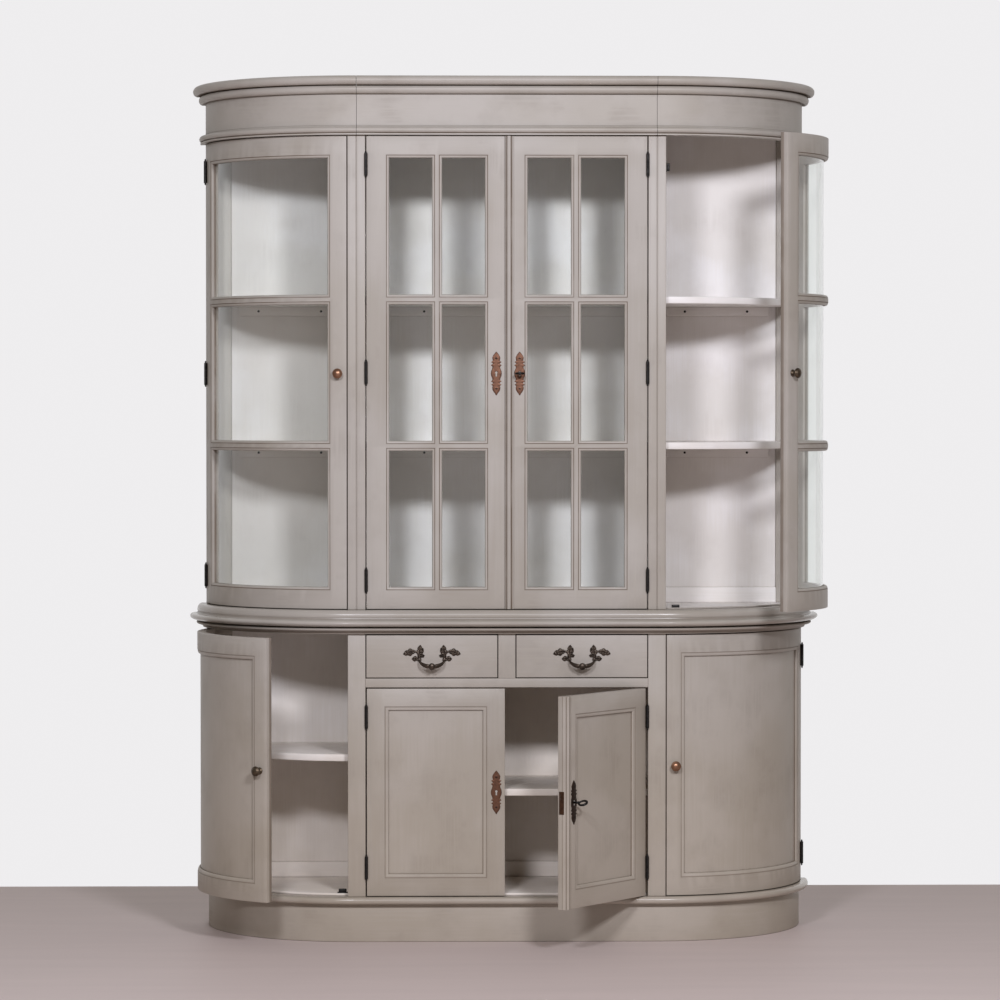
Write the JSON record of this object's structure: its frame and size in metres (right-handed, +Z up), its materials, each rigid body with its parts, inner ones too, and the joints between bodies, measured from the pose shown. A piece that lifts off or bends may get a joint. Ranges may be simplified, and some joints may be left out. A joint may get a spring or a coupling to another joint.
{
  "type": "welsh dresser",
  "caption": "Bow-ended painted display dresser: a glazed hutch with curved and flat hinged doors on a cupboard base with panelled doors and drawers.",
  "frame": {"origin": "on the floor under the middle of the carcass, midway between its flat front and its back", "axes": "+Z up, -Y towards the front, +X to the right seen from the front"},
  "size_m": [1.6606, 0.7001, 2.206],
  "materials": {
    "paint": "greige paint, antiqued, satin",
    "interior_paint": "white paint, matt",
    "bare_wood": "bare wood",
    "glass": "clear",
    "iron": "black iron",
    "bronze": "antique bronze",
    "copper": "antique copper",
    "dark_bronze": "dark cast bronze",
    "lock_brass": "tarnished brass"
  },
  "bodies": {
    "carcass": {"plinth": "paint", "base_board": "paint", "base_partitions": "paint", "base_face_frame": "paint", "drawer_runners": "bare_wood", "rear_posts": "paint", "back_panels": "interior_paint", "shelves": "interior_paint", "shelf_battens": "interior_paint", "dresser_top": "paint", "hutch_bottom_board": "paint", "hutch_side_panels": "paint", "frieze": "paint", "hutch_roof_boards": "paint", "cornice": "paint", "hinge_frame_leaves": "iron", "hinge_pins": "iron", "door_catches": "iron"},
    "hutch_left_end_door": {"hutch_left_end_door_frame": "paint", "hutch_left_end_door_glass": "glass", "hutch_left_end_door_hinge_leaves": "iron", "hutch_left_end_door_knob": "bronze"},
    "hutch_center_left_door": {"hutch_center_left_door_frame": "paint", "hutch_center_left_door_glass": "glass", "hutch_center_left_door_hinge_leaves": "iron", "hutch_center_left_door_escutcheon": "copper"},
    "hutch_center_right_door": {"hutch_center_right_door_frame": "paint", "hutch_center_right_door_glass": "glass", "hutch_center_right_door_hinge_leaves": "iron", "hutch_center_right_door_escutcheon": "copper", "hutch_center_right_door_lock_case": "lock_brass"},
    "hutch_center_right_door_key": {"hutch_center_right_door_key": "iron"},
    "hutch_center_right_door_lock_bolt": {"hutch_center_right_door_lock_bolt": "lock_brass"},
    "hutch_right_end_door": {"hutch_right_end_door_frame": "paint", "hutch_right_end_door_glass": "glass", "hutch_right_end_door_hinge_leaves": "iron", "hutch_right_end_door_knob": "bronze"},
    "base_left_end_door": {"base_left_end_door_frame": "paint", "base_left_end_door_panel": "paint", "base_left_end_door_hinge_leaves": "iron", "base_left_end_door_knob": "bronze"},
    "base_center_left_door": {"base_center_left_door_frame": "paint", "base_center_left_door_panel": "paint", "base_center_left_door_hinge_leaves": "iron", "base_center_left_door_escutcheon": "copper"},
    "base_center_right_door": {"base_center_right_door_frame": "paint", "base_center_right_door_panel": "paint", "base_center_right_door_hinge_leaves": "iron", "base_center_right_door_escutcheon": "copper", "base_center_right_door_lock_case": "lock_brass"},
    "base_center_right_door_key": {"base_center_right_door_key": "iron"},
    "base_center_right_door_lock_bolt": {"base_center_right_door_lock_bolt": "lock_brass"},
    "base_right_end_door": {"base_right_end_door_frame": "paint", "base_right_end_door_panel": "paint", "base_right_end_door_hinge_leaves": "iron", "base_right_end_door_knob": "bronze"},
    "left_drawer": {"left_drawer": "paint", "left_drawer_pull": "dark_bronze"},
    "right_drawer": {"right_drawer": "paint", "right_drawer_pull": "dark_bronze"}
  },
  "joints": [
    {"name": "hutch_left_end_door_swing", "type": "hinge", "parent": "carcass", "child": "hutch_left_end_door", "pos_m": [-0.78474, 0.12911, 0], "axis": [0, 0, -1], "range_deg": [0, 100]},
    {"name": "hutch_center_left_door_swing", "type": "hinge", "parent": "carcass", "child": "hutch_center_left_door", "pos_m": [-0.3585, -0.2063, 0], "axis": [0, 0, -1], "range_deg": [0, 110]},
    {"name": "hutch_center_right_door_swing", "type": "hinge", "parent": "carcass", "child": "hutch_center_right_door", "pos_m": [0.3585, -0.2063, 0], "axis": [0, 0, 1], "range_deg": [0, 110]},
    {"name": "hutch_center_right_door_key_turn", "type": "hinge", "parent": "hutch_center_right_door", "child": "hutch_center_right_door_key", "pos_m": [0.0325, -0.202, 1.451], "axis": [0, 1, 0], "range_deg": [0, 90]},
    {"name": "hutch_center_right_door_lock_bolt_throw", "type": "slide", "parent": "hutch_center_right_door", "child": "hutch_center_right_door_lock_bolt", "axis": [-1, 0, 0], "range_m": [0, 0.008]},
    {"name": "hutch_right_end_door_swing", "type": "hinge", "parent": "carcass", "child": "hutch_right_end_door", "pos_m": [0.78474, 0.12911, 0], "axis": [0, 0, 1], "range_deg": [-39, 61]},
    {"name": "base_left_end_door_swing", "type": "hinge", "parent": "carcass", "child": "base_left_end_door", "pos_m": [-0.78474, 0.12911, 0], "axis": [0, 0, -1], "range_deg": [-28, 72]},
    {"name": "base_center_left_door_swing", "type": "hinge", "parent": "carcass", "child": "base_center_left_door", "pos_m": [-0.3585, -0.2063, 0], "axis": [0, 0, -1], "range_deg": [0, 110]},
    {"name": "base_center_right_door_swing", "type": "hinge", "parent": "carcass", "child": "base_center_right_door", "pos_m": [0.3585, -0.2063, 0], "axis": [0, 0, 1], "range_deg": [-53.5, 56.5]},
    {"name": "base_center_right_door_key_turn", "type": "hinge", "parent": "base_center_right_door", "child": "base_center_right_door_key", "pos_m": [0.16113, -0.4658, 0.383], "axis": [-0.8039, 0.5948, 0], "range_deg": [0, 90]},
    {"name": "base_center_right_door_lock_bolt_throw", "type": "slide", "parent": "base_center_right_door", "child": "base_center_right_door_lock_bolt", "axis": [-0.5948, -0.8039, 0], "range_m": [0, 0.008]},
    {"name": "base_right_end_door_swing", "type": "hinge", "parent": "carcass", "child": "base_right_end_door", "pos_m": [0.78474, 0.12911, 0], "axis": [0, 0, 1], "range_deg": [0, 100]},
    {"name": "left_drawer_slide", "type": "slide", "parent": "carcass", "child": "left_drawer", "axis": [0, -1, 0], "range_m": [0, 0.28]},
    {"name": "right_drawer_slide", "type": "slide", "parent": "carcass", "child": "right_drawer", "axis": [0, -1, 0], "range_m": [0, 0.28]}
  ],
  "couplings": [
    {"joint": "hutch_center_right_door_key_turn", "follows": "hutch_center_right_door_lock_bolt_throw", "rad_per_m": 196.3},
    {"joint": "base_center_right_door_key_turn", "follows": "base_center_right_door_lock_bolt_throw", "rad_per_m": 196.3}
  ]
}
